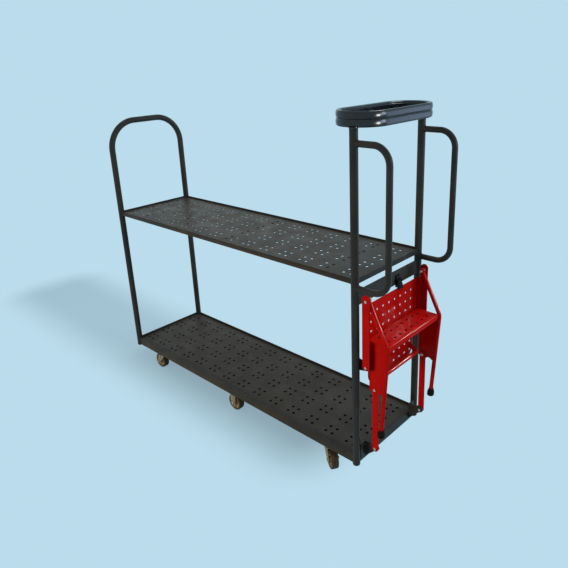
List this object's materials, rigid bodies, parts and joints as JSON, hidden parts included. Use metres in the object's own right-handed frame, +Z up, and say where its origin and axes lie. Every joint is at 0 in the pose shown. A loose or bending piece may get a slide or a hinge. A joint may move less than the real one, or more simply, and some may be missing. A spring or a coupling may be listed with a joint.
{
  "type": "step trolley",
  "caption": "Long shelf trolley on castors with a tube end hoop, push handles, an oval bag ring and a fold-down step unit at one end.",
  "frame": {"origin": "on the floor under the middle of the overall box", "axes": "+X towards the step and handle end, -Y to the left side, +Z up"},
  "size_m": [1.6612, 0.434, 1.42],
  "materials": {
    "frame_black": "satin powder coat",
    "deck_grey": "matt powder coat",
    "ring_black": "glossy",
    "step_red": "glossy enamel",
    "zinc": "zinc plated",
    "castor_zinc": "dull yellow zinc",
    "rubber_black": "matt",
    "plastic_black": "satin",
    "wheel_core": "satin",
    "tyre_dark": "matt"
  },
  "bodies": {
    "frame": {"deck_frame": "frame_black", "deck_sheet": "deck_grey", "deck_crossmembers": "frame_black", "shelf_frame": "frame_black", "shelf_sheet": "deck_grey", "shelf_stiffeners": "frame_black", "end_hoop": "frame_black", "step_post_left": "frame_black", "step_post_right": "frame_black", "post_plugs": "plastic_black", "push_handle_left": "frame_black", "push_handle_right": "frame_black", "crossbar": "frame_black", "snap_catch": "plastic_black", "catch_screws": "frame_black", "bag_ring": "ring_black", "platform_bracket_left": "frame_black", "platform_bracket_right": "frame_black", "arm_bracket_left": "frame_black", "arm_bracket_right": "frame_black", "platform_pivot_bolts": "zinc", "arm_pivot_bolts": "zinc", "castor_top_plates": "castor_zinc", "castor_bolts": "zinc", "fixed_castors": "castor_zinc", "fixed_axles": "zinc"},
    "upper_ring": {"clamp_ring": "ring_black"},
    "platform": {"platform_panel": "step_red", "platform_rail": "step_red", "platform_side_left": "step_red", "platform_side_right": "step_red", "leg_pivot_bolts": "zinc"},
    "legs": {"leg_tube_left": "step_red", "leg_tube_right": "step_red", "lower_tread": "step_red", "foot_left": "rubber_black", "foot_right": "rubber_black", "arm_joint_bolts": "zinc"},
    "arm_left": {"arm_left": "step_red"},
    "arm_right": {"arm_right": "step_red"},
    "fork_hoop_left": {"fork_hoop_left": "castor_zinc", "axle_hoop_left": "zinc"},
    "wheel_hoop_left": {"wheel_hoop_left": "wheel_core", "tyre_hoop_left": "tyre_dark"},
    "fork_hoop_right": {"fork_hoop_right": "castor_zinc", "axle_hoop_right": "zinc"},
    "wheel_hoop_right": {"wheel_hoop_right": "wheel_core", "tyre_hoop_right": "tyre_dark"},
    "fork_step_left": {"fork_step_left": "castor_zinc", "axle_step_left": "zinc"},
    "wheel_step_left": {"wheel_step_left": "wheel_core", "tyre_step_left": "tyre_dark"},
    "fork_step_right": {"fork_step_right": "castor_zinc", "axle_step_right": "zinc"},
    "wheel_step_right": {"wheel_step_right": "wheel_core", "tyre_step_right": "tyre_dark"},
    "wheel_mid_left": {"wheel_mid_left": "wheel_core", "tyre_mid_left": "tyre_dark"},
    "wheel_mid_right": {"wheel_mid_right": "wheel_core", "tyre_mid_right": "tyre_dark"}
  },
  "joints": [
    {"name": "step_fold", "type": "hinge", "parent": "frame", "child": "platform", "pos_m": [0.72075, 0, 0.531], "axis": [0, 1, 0], "range_deg": [0, 90], "deforming": ["snap_catch"]},
    {"name": "leg_turn", "type": "hinge", "parent": "platform", "child": "legs", "pos_m": [0.72075, 0, 0.787], "axis": [0, 1, 0], "range_deg": [-90, 0]},
    {"name": "arm_left_turn", "type": "hinge", "parent": "frame", "child": "arm_left", "pos_m": [0.74225, -0.1605, 0.182], "axis": [0, 1, 0], "range_deg": [0, 90]},
    {"name": "arm_right_turn", "type": "hinge", "parent": "frame", "child": "arm_right", "pos_m": [0.74225, 0.1605, 0.182], "axis": [0, 1, 0], "range_deg": [0, 90]},
    {"name": "ring_lift", "type": "slide", "parent": "frame", "child": "upper_ring", "axis": [0, 0, 1], "range_m": [0, 0.06]},
    {"name": "swivel_hoop_left", "type": "hinge", "parent": "frame", "child": "fork_hoop_left", "pos_m": [-0.64825, -0.158, 0.091], "axis": [0, 0, 1], "continuous": true},
    {"name": "roll_hoop_left", "type": "hinge", "parent": "fork_hoop_left", "child": "wheel_hoop_left", "pos_m": [-0.68025, -0.158, 0.04], "axis": [0, 1, 0], "continuous": true},
    {"name": "swivel_hoop_right", "type": "hinge", "parent": "frame", "child": "fork_hoop_right", "pos_m": [-0.64825, 0.158, 0.091], "axis": [0, 0, 1], "continuous": true},
    {"name": "roll_hoop_right", "type": "hinge", "parent": "fork_hoop_right", "child": "wheel_hoop_right", "pos_m": [-0.6793, 0.15026, 0.04], "axis": [-0.2419, 0.9703, 0], "continuous": true},
    {"name": "swivel_step_left", "type": "hinge", "parent": "frame", "child": "fork_step_left", "pos_m": [0.51575, -0.158, 0.091], "axis": [0, 0, 1], "continuous": true},
    {"name": "roll_step_left", "type": "hinge", "parent": "fork_step_left", "child": "wheel_step_left", "pos_m": [0.54289, -0.17496, 0.04], "axis": [-0.5299, -0.848, 0], "continuous": true},
    {"name": "swivel_step_right", "type": "hinge", "parent": "frame", "child": "fork_step_right", "pos_m": [0.51575, 0.158, 0.091], "axis": [0, 0, 1], "continuous": true},
    {"name": "roll_step_right", "type": "hinge", "parent": "fork_step_right", "child": "wheel_step_right", "pos_m": [0.48652, 0.14498, 0.04], "axis": [-0.4067, 0.9135, 0], "continuous": true},
    {"name": "roll_mid_left", "type": "hinge", "parent": "frame", "child": "wheel_mid_left", "pos_m": [-0.06625, -0.158, 0.04], "axis": [0, 1, 0], "continuous": true},
    {"name": "roll_mid_right", "type": "hinge", "parent": "frame", "child": "wheel_mid_right", "pos_m": [-0.06625, 0.158, 0.04], "axis": [0, 1, 0], "continuous": true}
  ],
  "couplings": [
    {"joint": "leg_turn", "follows": "step_fold", "ratio": -1},
    {"joint": "arm_left_turn", "follows": "step_fold", "ratio": 1},
    {"joint": "arm_right_turn", "follows": "step_fold", "ratio": 1}
  ]
}
